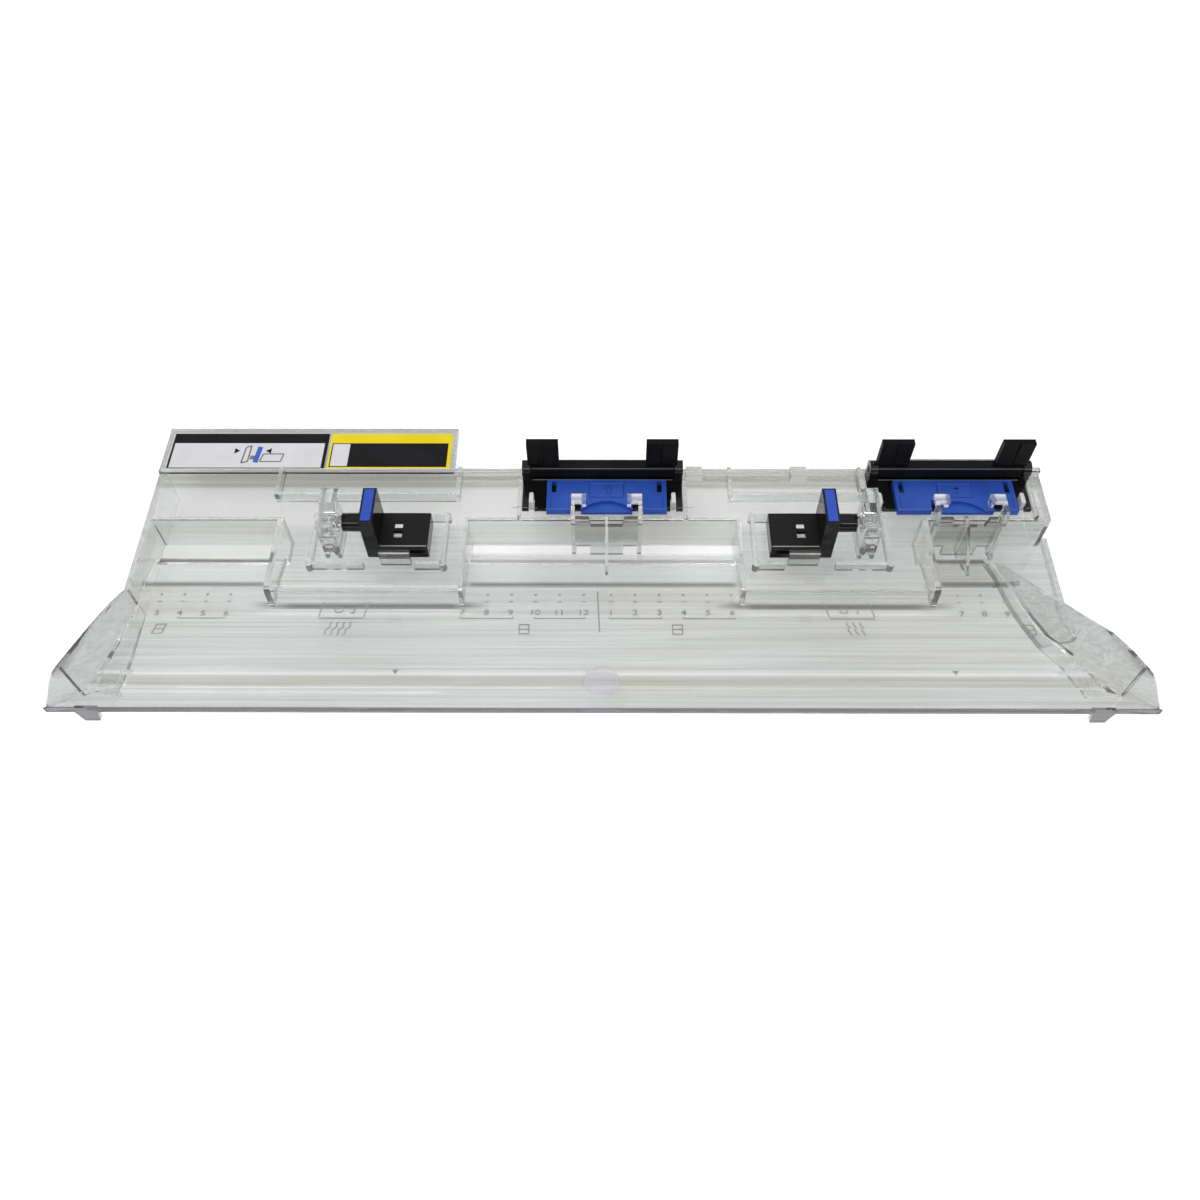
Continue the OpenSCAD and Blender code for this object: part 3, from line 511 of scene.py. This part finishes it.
def line(a, b, width):
    """A straight stroke from a to b as a thin rectangle."""
    dx, dy = b[0] - a[0], b[1] - a[1]
    k = width / 2 / math.hypot(dx, dy)
    nx, ny = -dy * k, dx * k
    return [(a[0] + nx, a[1] + ny), (a[0] - nx, a[1] - ny), (b[0] - nx, b[1] - ny), (b[0] + nx, b[1] + ny)]


def strokes(points, width, closed=False):
    pairs = list(zip(points, points[1:]))
    if closed:
        pairs.append((points[-1], points[0]))
    return [line(a, b, width) for a, b in pairs]


def circle(cx, cy, r, sides):
    return [(cx + r * math.cos(2 * math.pi * k / sides), cy + r * math.sin(2 * math.pi * k / sides))
            for k in range(sides)]


# ---------------------------------------------------------------- deck marks
MARK_H = 0.12
STROKE = 0.46
BRACKET_STROKE = STROKE * 0.8
DIVIDER_STROKE = STROKE * 1.2
WAVE_STROKE = STROKE * 0.9
DIGIT = 3.5
DIGIT_BOLD = 0.05
DIGIT_STRETCH = 1.35
# columns of sockets: x of the first, pitch, first number, how many, distance of the figures behind the lip
COLUMNS = (
    (-57.1, 9.9, 7, 6, 43.2),
    (3.7, 9.9, 1, 6, 43.2),
    (-182.1, 9.5, 3, 4, 42.7),
    (146.6, 9.3, 7, 3, 42.7),
)
DOT_Y = 53.0
DOT_R = 0.55
DASH_Y = 49.6
DASH_HALF = 0.8
# brackets that group the columns, from x to x
BRACKETS = ((-58, -36.3), (-27.4, -7), (3, 24.2), (33.2, 54.2), (-173, -154))
BRACKET_Y = (41.4, 42.3)
DIVIDER = ((-1.9, 54.6), (-0.9, 34.8))
# two-cell marks and framed numbers: x, and how far they lean
CELLS = ((-31.5, 0.0), (30.6, 0.0), (-179.3, 0.5), (172.6, -0.4))
CELL_Y = (34.0, 36.2, 38.4)
CELL_HALF = 2
FRAMES = ((-105.6, 0.7), (100.9, -0.9))
FRAME_HALF = 9.2
FRAME_Y = (41.4, 42.2, 50.0)
# a small round box beside the figure, from the frame's middle
BOX_X = (-3.6, -0.6)
BOX_Y = (44.2, 46.8)
BOX_R = 0.5
# the figures in the frames: text, x, distance behind the lip, size
FRAMED = (("2", -101.8, 43.7, 3.6), ("1", 104.4, 43.7, 3.6))
# groups of air waves: x, lean, how many
WAVES = ((-107.4, 0.55, 4), (103.4, -0.15, 3))
WAVE_START = -3.6
WAVE_PITCH = 2.7
WAVE_STEPS = 12
WAVE_Y = 33.4
WAVE_L = 6.2
WAVE_SWING = 0.55
WAVE_LEAN = 5.5
# arrowheads that point to the front edge
POINTERS = (-81.4, 139.2)
POINTER_Y = (15.2, 17.2)
POINTER_HALF = 1.3


def digit_mesh(bm, text, x, y, size):
    """Adds the outline font's figures, laid flat on the deck, to a bmesh."""
    curve = bpy.data.curves.new("figure", "FONT")
    curve.body = text
    curve.size = size * MM
    curve.extrude = MARK_H / 2 * MM
    curve.offset = DIGIT_BOLD * MM
    curve.align_x = "CENTER"
    curve.resolution_u = 3
    obj = bpy.data.objects.new("figure", curve)
    bpy.context.collection.objects.link(obj)
    bpy.context.view_layer.update()
    mesh = bpy.data.meshes.new_from_object(obj.evaluated_get(bpy.context.evaluated_depsgraph_get()))
    mesh.transform(Matrix.Translation(at(x, y, MARK_H / 2)) @ Matrix.Diagonal((DIGIT_STRETCH, 1, 1, 1)))
    bm.from_mesh(mesh)
    bpy.data.objects.remove(obj)
    bpy.data.curves.remove(curve)
    bpy.data.meshes.remove(mesh)


def build_figures():
    """Numbers of the sockets under the deck, and one number in front of each latch."""
    bm = bmesh.new()
    for x, pitch, first, count, y in COLUMNS:
        for k in range(count):
            digit_mesh(bm, str(first + k), x + k * pitch, y, DIGIT)
    for text, x, y, size in FRAMED:
        digit_mesh(bm, text, x, y, size)
    keep("deck_figures", bm, MARK, "root")


def build_deck_marks():
    outlines = []
    for first, pitch, _, count, _ in COLUMNS:
        for k in range(count):
            x = first + k * pitch
            outlines.append(circle(x, DOT_Y, DOT_R, 16))
            outlines.append(line((x - DASH_HALF, DASH_Y), (x + DASH_HALF, DASH_Y), STROKE))
    front, back = BRACKET_Y
    for x1, x2 in BRACKETS:
        outlines += strokes([(x1, back), (x1, front), (x2, front), (x2, back)], BRACKET_STROKE)
    outlines.append(line(*DIVIDER, DIVIDER_STROKE))
    front, middle, back = CELL_Y
    for x, lean in CELLS:
        x1, x2 = x - CELL_HALF, x + CELL_HALF
        cell = [(x1 - lean, front), (x2 - lean, front), (x2 + lean, back), (x1 + lean, back)]
        outlines += strokes(cell, STROKE, closed=True)
        outlines.append(line((x1, middle), (x2, middle), STROKE))
    front, low, high = FRAME_Y
    for x, lean in FRAMES:
        for side in (-FRAME_HALF, FRAME_HALF):
            outlines.append(line((x + side + lean, high), (x + side - lean, low), STROKE))
        outlines.append(line((x - FRAME_HALF - lean, front), (x + FRAME_HALF - lean, front), STROKE))
        box = rounded(x + BOX_X[0], BOX_Y[0], x + BOX_X[1], BOX_Y[1], BOX_R, 3)
        outlines += strokes(box, STROKE, closed=True)
    for x, lean, count in WAVES:
        for k in range(count):
            wave = []
            for j in range(WAVE_STEPS + 1):
                t = j / WAVE_STEPS
                swing = WAVE_LEAN * lean * (t - 0.5) + WAVE_SWING * math.sin(4 * math.pi * t)
                wave.append((x + WAVE_START + WAVE_PITCH * k + swing, WAVE_Y + WAVE_L * t))
            outlines += strokes(wave, WAVE_STROKE)
    front, back = POINTER_Y
    for x in POINTERS:
        outlines.append([(x - POINTER_HALF, back), (x, front), (x + POINTER_HALF, back)])
    prisms("deck_marks", outlines, 0, MARK_H, MARK, "clear_plastic")


# the disc's profile as (radius, height over the groove's floor)
DISC_RINGS = ((7.0, 0.0), (7.0, 0.35), (6.7, 0.55), (5.9, 0.55), (5.6, 0.42))
DISC_SIDES = 72
DISC_Y = 12.4
GROOVE_FLOOR = -0.8


def build_disc():
    """A plain frosted disc in the groove behind the lip."""
    bm = bmesh.new()
    loops = []
    for radius, height in DISC_RINGS:
        ring = circle(0, DISC_Y, radius, DISC_SIDES)
        loops.append([bm.verts.new(at(x, y, GROOVE_FLOOR + height)) for x, y in ring])
    for low, high in zip(loops, loops[1:]):
        for k in range(DISC_SIDES):
            n = (k + 1) % DISC_SIDES
            bm.faces.new((low[k], low[n], high[n], high[k]))
    bm.faces.new(loops[0][::-1])
    bm.faces.new(loops[-1])
    bmesh.ops.recalc_face_normals(bm, faces=bm.faces[:])
    keep("lip_disc", bm, DISC, "root")


# ---------------------------------------------------------------- labels
LABEL_TOP = STEP_Z + 0.25
INK = 0.02
LABEL_Y = (112.5, 132.8)
HEADER_D = 5.6
WHITE_X = (-190.8, -121.8)
YELLOW_X = (-120.8, -66.8)
# widths of the borders at the left, right and front
WHITE_BORDER = (0.9, 1.5, 0.5)
YELLOW_BORDER = (0.9, 1.6, 0.9)
CELL_INSET = 0.5
CELL_END = 8.0
POST_STROKE = 0.7
SLIDE_STROKE = 0.6
# the pictogram of pinching: outlines of x and distance behind the label's front
ARROWHEADS = (
    ((-162.6, 11.8), (-162.6, 8.6), (-160.2, 10.2)),
    ((-146.4, 11.8), (-148.8, 10.2), (-146.4, 8.6)),
)
POST = ((-158.6, 3.2), (-157.8, 12.2), (-155.6, 13.2), (-155.9, 4.0))
SLIDE_FLAT = ((-150.6, 4.0), (-141.4, 4.0), (-140.6, 8.4), (-149.6, 8.4))
SLEEVE = ((-155.2, 5.2), (-153.2, 5.2), (-153.2, 7.4), (-155.2, 7.4))
UPRIGHT = ((-153.6, 3.6), (-151.4, 3.2), (-150.4, 12.4), (-152.6, 12.8))


def on_label(outline):
    return [(x, LABEL_Y[0] + y) for x, y in outline]


def build_labels():
    front, back = LABEL_Y
    head = back - HEADER_D
    top = LABEL_TOP + INK
    x1, x2 = WHITE_X
    left, right, near = WHITE_BORDER
    black = [
        rectangle(x1, head, x2, back),
        rectangle(x1, front, x1 + left, head),
        rectangle(x2 - right, front, x2, head),
        rectangle(x1 + left, front, x2 - right, front + near),
    ]
    black += [on_label(outline) for outline in ARROWHEADS]
    prisms("white_label_fields", black, LABEL_TOP, top, BLACK_FILM, "white_label")
    grey = strokes(on_label(POST), POST_STROKE, closed=True)
    grey += strokes(on_label(SLIDE_FLAT), SLIDE_STROKE, closed=True)
    grey.append(on_label(SLEEVE))
    prisms("white_label_pictogram", grey, LABEL_TOP, top, GREY_FILM, "white_label")
    prisms("white_label_accent", [on_label(UPRIGHT)], LABEL_TOP, top, BLUE_FILM, "white_label")
    x1, x2 = YELLOW_X
    left, right, near = YELLOW_BORDER
    panel = rectangle(x1 + left, front + near, x2 - right, head)
    prisms("yellow_label_panel", [panel], LABEL_TOP, top, BLACK_FILM, "yellow_label")
    cell_left = x1 + left + CELL_INSET
    cell_right = x1 + left + CELL_END
    cell = rectangle(cell_left, front + near + CELL_INSET, cell_right, head - CELL_INSET)
    prisms("yellow_label_cell", [cell], top, top + INK, WHITE_FILM, "yellow_label")


# ---------------------------------------------------------------- retainer details
PLATE_TOP = STEP_Z + 5.2
PANEL_TOP = PLATE_TOP + 0.3
INLAY = 0.05
# per retainer: middle of its plate, shift of the hooks from it, and whether the arrow is small and filled
PLATES = (("centre", 1.8, 0.0, False), ("side", 148.8, 4.2, True))
ARROW_Y = 96.4
ARROW_SHIFT = 0.9
# half width of the shaft, half width of the head, and half the length
ARROW_SMALL = (0.5, 1.3, 1.6)
ARROW_LARGE = (0.7, 1.9, 2.6)
ARROW_NECK = 0.4
ARROW_LINE = 0.34
ARROW_TAIL = 0.3
# the plate's grooves, drawn as darker lines of painted shade, as (distance from its middle, front end, back
# end, width)
GROOVES = ((23.6, 86.4, 92.4, 0.34), (7.2, 92.5, 99.8, 0.3))
# painted highlights along the panel's edge and the plate's front edge
PANEL_EDGE_Y = 99.6
PANEL_EDGE_HALF = 6.9
PANEL_EDGE_W = 0.35
PLATE_EDGE_Y = 86.2
PLATE_EDGE_HALF = 25.0
PLATE_EDGE_W = 0.4
HOOK_REACH = 15.6


def build_plate_marks():
    """An arrow that points to the back, grooves beside the panel as lines of painted shade, and painted
    highlights along the front edges.
    """
    for place, x, hooks, filled in PLATES:
        body = f"{place}_latch"
        ax = x + ARROW_SHIFT
        shaft, head, tail = ARROW_SMALL if filled else ARROW_LARGE
        neck = ARROW_Y + ARROW_NECK
        arrow = [(ax - shaft, ARROW_Y - tail), (ax + shaft, ARROW_Y - tail), (ax + shaft, neck),
                 (ax + head, neck), (ax, ARROW_Y + tail), (ax - head, neck), (ax - shaft, neck)]
        if filled:
            outlines = [arrow[3:6]] + strokes(arrow[:2], ARROW_TAIL)
        else:
            outlines = strokes(arrow, ARROW_LINE, closed=True)
        ink = DARK_INK if filled else ARROW_AND_GROOVE_BLUE
        prisms(f"{place}_plate_arrow", outlines, PANEL_TOP, PANEL_TOP + INLAY, ink, "blue_plastic", body)
        # the grooves are flat darker lines: painted shade
        grooves = []
        for side in (-1, 1):
            for offset, front, back, width in GROOVES:
                grooves.append(line((x + side * offset, front), (x + side * offset, back), width))
        low, high = PLATE_TOP, PLATE_TOP + INLAY
        prisms(f"{place}_plate_grooves", grooves, low, high, ARROW_AND_GROOVE_BLUE, "blue_plastic", body)
        # painted highlights along the panel's edge and the plate's front edge, beside the hooks
        x1, x2 = x - PANEL_EDGE_HALF, x + PANEL_EDGE_HALF
        edges = [line((x1, PANEL_EDGE_Y), (x2, PANEL_EDGE_Y), PANEL_EDGE_W)]
        ends = ((x - PLATE_EDGE_HALF, x + hooks - HOOK_REACH), (x + hooks + HOOK_REACH, x + PLATE_EDGE_HALF))
        tops = [line((x1, PLATE_EDGE_Y), (x2, PLATE_EDGE_Y), PLATE_EDGE_W) for x1, x2 in ends]
        prisms(f"{place}_panel_edge", edges, PANEL_TOP, PANEL_TOP + INLAY, LIT_BLUE, "blue_plastic", body)
        prisms(f"{place}_plate_edge", tops, low, high, LIT_BLUE, "blue_plastic", body)


def build_springs():
    """A copy of each spring's solid stands for it."""
    for side, sign in (("left", -1), ("right", 1)):
        source = nodes[f"{side}_pinch_spring"]
        mesh = source.data.copy()
        mesh.transform(source.matrix_world)
        mesh.shade_smooth()
        coil = bpy.data.objects.new(f"{side}_coil", mesh)
        bpy.context.collection.objects.link(coil)
        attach(coil, "root")
        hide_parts(f"{side}_pinch_spring")
        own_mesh(coil)


# height over the front deck, and lengths from a slide's inner end
SLIDE_TOP = 20.0
FLAT_X = (0.4, 19.3)
TAB_X = (11.0, 14.2)
# places behind the lip
SLIDE_EDGE_Y = (63.05, 63.4)
TAB_Y = (72.5, 74.7)
EDGE_H = 0.04
# heights below the slide's top
TAB_LOW = 1.2
TAB_HIGH = 0.5


def build_slide_details():
    """A painted highlight along the front edge of each slide's flat top, and a frosted tab in its rear
    window that paints the light seen through it.
    """
    for side, sign in (("left", -1), ("right", 1)):
        slide = nodes[f"{side}_pinch_slide"]
        inner = min(sign * (slide.matrix_world @ Vector(c)).x for c in slide.bound_box) / MM
        body = f"{side}_pinch_body"
        x1, x2 = sorted(sign * (inner + x) for x in FLAT_X)
        # painted highlight along the flat top's front edge
        edge = rectangle(x1, SLIDE_EDGE_Y[0], x2, SLIDE_EDGE_Y[1])
        prisms(f"{side}_slide_edge", [edge], SLIDE_TOP, SLIDE_TOP + EDGE_H, SLIDE_HIGHLIGHT, "black_plastic", body)
        # painted light: a pale tab in the rear window
        x1, x2 = sorted(sign * (inner + x) for x in TAB_X)
        tab = rectangle(x1, TAB_Y[0], x2, TAB_Y[1])
        low, high = SLIDE_TOP - TAB_LOW, SLIDE_TOP - TAB_HIGH
        prisms(f"{side}_window_light_tab", [tab], low, high, WINDOW_LIGHT, "clear_plastic", body)


RETAINERS = (("centre", 0.0), ("side", 147.0))
BAR_HALF = 29.8
BAR_LINE_D = 0.2
# painted highlight lines on the bar: name, back face behind the lip, lower and upper height over the front
# deck
BAR_LINES = (("line", 102.02, 15.2, 15.55), ("edge", 102.56, 21.84, 21.94))
# feet on either side of the plate, from and to this distance from the retainer's middle
FEET = ((27.6, 28.4), (31.6, 38.4))
FOOT_Y = (89.25, 89.55)
FOOT_Z = (12.0, 12.04)


def build_painted_edge_highlights():
    """Painted highlights: light lines along the bar's front edges and the retainers' front feet."""
    for place, x in RETAINERS:
        for part, back, low, high in BAR_LINES:
            outline = rectangle(x - BAR_HALF, back - BAR_LINE_D, x + BAR_HALF, back)
            prisms(f"{place}_bar_{part}", [outline], low, high, EDGE_HIGHLIGHT, "black_plastic", f"{place}_gate")
        feet = []
        for side in (-1, 1):
            for near, far in FEET:
                x1, x2 = sorted((x + side * near, x + side * far))
                feet.append(rectangle(x1, FOOT_Y[0], x2, FOOT_Y[1]))
        prisms(f"{place}_foot_line", feet, *FOOT_Z, EDGE_HIGHLIGHT, "black_plastic")


build_springs()
build_slide_details()
build_painted_edge_highlights()
build_figures()
build_deck_marks()
build_disc()
build_labels()
build_plate_marks()


# ---------------------------------------------------------------- stage
FLOOR_HALF = 3.0
FLOOR_Z = -0.0004  # just clear of the part's underside, so that the two faces don't coincide
FLOOR_GLOW = 0.16
FLOOR_ROUGHNESS = 0.9
FLOOR_COLOUR = (0.95, 0.95, 0.95, 1)
FLOOR_UNDER_SHEET = (0.412, 0.418, 0.414, 1)


def build_stage():
    mesh = bpy.data.meshes.new("floor")
    corners = [(x, y, FLOOR_Z) for x, y in rectangle(-FLOOR_HALF, -FLOOR_HALF, FLOOR_HALF, FLOOR_HALF)]
    mesh.from_pydata(corners, [], [(0, 1, 2, 3)])
    floor = bpy.data.objects.new("floor", mesh)
    bpy.context.collection.objects.link(floor)
    mat, tree = new_material("floor_white")
    out = add(tree, "ShaderNodeOutputMaterial")
    body = add(tree, "ShaderNodeBsdfPrincipled")
    body.inputs["Roughness"].default_value = FLOOR_ROUGHNESS
    body.inputs["Emission Color"].default_value = (1, 1, 1, 1)
    body.inputs["Emission Strength"].default_value = FLOOR_GLOW
    # the pale table, greyer where it is seen through the clear sheet
    path = add(tree, "ShaderNodeLightPath")
    table = add(tree, "ShaderNodeMix", data_type="RGBA")
    table.inputs[6].default_value = FLOOR_COLOUR
    table.inputs[7].default_value = FLOOR_UNDER_SHEET
    link(tree, path.outputs["Is Transmission Ray"], table.inputs[0])
    link(tree, table.outputs[2], body.inputs["Base Color"])
    link(tree, body.outputs["BSDF"], out.inputs["Surface"])
    mesh.materials.append(mat)


def area_light(name, place, size, power, mirrored):
    """A rectangular light that faces the part's middle."""
    light = bpy.data.lights.new(name, "AREA")
    light.shape = "RECTANGLE"
    light.size, light.size_y = size
    light.energy = power
    obj = bpy.data.objects.new(name, light)
    obj.location = place
    obj.rotation_euler = (-Vector(place)).to_track_quat("-Z", "Y").to_euler()
    obj.visible_glossy = mirrored
    bpy.context.collection.objects.link(obj)


# lights: name, place, size, power, and whether glossy faces mirror it
LIGHTS = (
    ("key", (-0.45, -0.15, 1.3), (0.8, 0.6), 6.0, False),
    ("back", (0.1, 1.0, 0.75), (1.4, 0.25), 4.5, False),
    ("front_strip", (0.0, -0.97, 0.88), (1.7, 0.06), 6.0, True),
)
SKY_STRENGTH = 0.8
# brightness of the surroundings from the horizon (0) to straight above (1)
SKY = ((0.0, 0.16), (0.25, 0.22), (0.6, 0.7), (0.9, 0.95))
BACKDROP = (1.25, 1.25, 1.25, 1)


def build_light():
    """A bright soft ceiling, greyer walls, and lights that draw lines along the moulded edges."""
    world = bpy.data.worlds.new("studio")
    bpy.context.scene.world = world
    world.use_nodes = True
    tree = world.node_tree
    sky = tree.nodes["Background"]
    sky.inputs["Strength"].default_value = SKY_STRENGTH
    spot = add(tree, "ShaderNodeTexCoord")
    split = add(tree, "ShaderNodeSeparateXYZ")
    link(tree, spot.outputs["Generated"], split.inputs["Vector"])
    tones = ramp(tree, split.outputs["Z"], [(height, (v, v, v)) for height, v in SKY])
    # the far wall itself is plain white
    path = add(tree, "ShaderNodeLightPath")
    seen = add(tree, "ShaderNodeMix", data_type="RGBA")
    seen.inputs[7].default_value = BACKDROP
    link(tree, path.outputs["Is Camera Ray"], seen.inputs[0])
    link(tree, tones, seen.inputs[6])
    link(tree, seen.outputs[2], sky.inputs["Color"])
    for light in LIGHTS:
        area_light(*light)


SENSOR_MM = 36.0
FOCAL_PX = 1067.0
SHIFT_PX = -4.0
CAMERA_PLACE = (0.0030, -0.2611, 0.3756)
CAMERA_TURN = (33.77, 0.19, 0.23)  # degrees


def build_camera():
    cam = bpy.data.cameras.new("photo_view")
    cam.sensor_fit = "HORIZONTAL"
    cam.sensor_width = SENSOR_MM
    cam.lens = FOCAL_PX / PHOTO_PX * SENSOR_MM
    cam.shift_x = SHIFT_PX / PHOTO_PX
    cam.clip_start = 0.01
    obj = bpy.data.objects.new("photo_view", cam)
    obj.location = CAMERA_PLACE
    obj.rotation_euler = tuple(math.radians(a) for a in CAMERA_TURN)
    bpy.context.collection.objects.link(obj)
    bpy.context.scene.camera = obj


build_stage()
build_light()
build_camera()
bpy.context.scene.view_settings.view_transform = "Standard"
